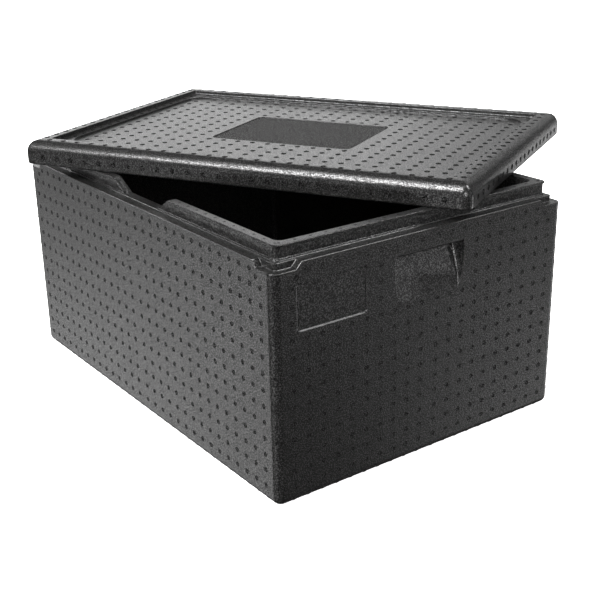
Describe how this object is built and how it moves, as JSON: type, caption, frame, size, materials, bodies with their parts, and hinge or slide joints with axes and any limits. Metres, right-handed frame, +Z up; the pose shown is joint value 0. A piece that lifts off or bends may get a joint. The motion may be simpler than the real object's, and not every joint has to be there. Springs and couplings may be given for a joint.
{
  "type": "insulated food carrier",
  "caption": "Stackable black foam box with a loose lid laid askew on its rim, for keeping food trays hot or cold.",
  "frame": {"origin": "centre of the box's underside, on the surface it stands on", "axes": "+Z up, +X along the box's long side, +Y towards the side that the lid overhangs more"},
  "size_m": [0.8294, 0.748, 0.3686],
  "materials": {
    "box_foam": "black expanded polypropylene bead foam, satin moulded skin with fused beads and round steam vent marks",
    "lid_foam": "black expanded polypropylene bead foam, satin moulded skin with fused beads and round steam vent marks"
  },
  "bodies": {
    "box": {"box_body": "box_foam"},
    "lid": {"lid": "lid_foam"}
  },
  "joints": [
    {"name": "lid_lift", "type": "slide", "parent": "box", "child": "lid", "axis": [0, 0, 1], "range_m": [0, 0.3]}
  ]
}
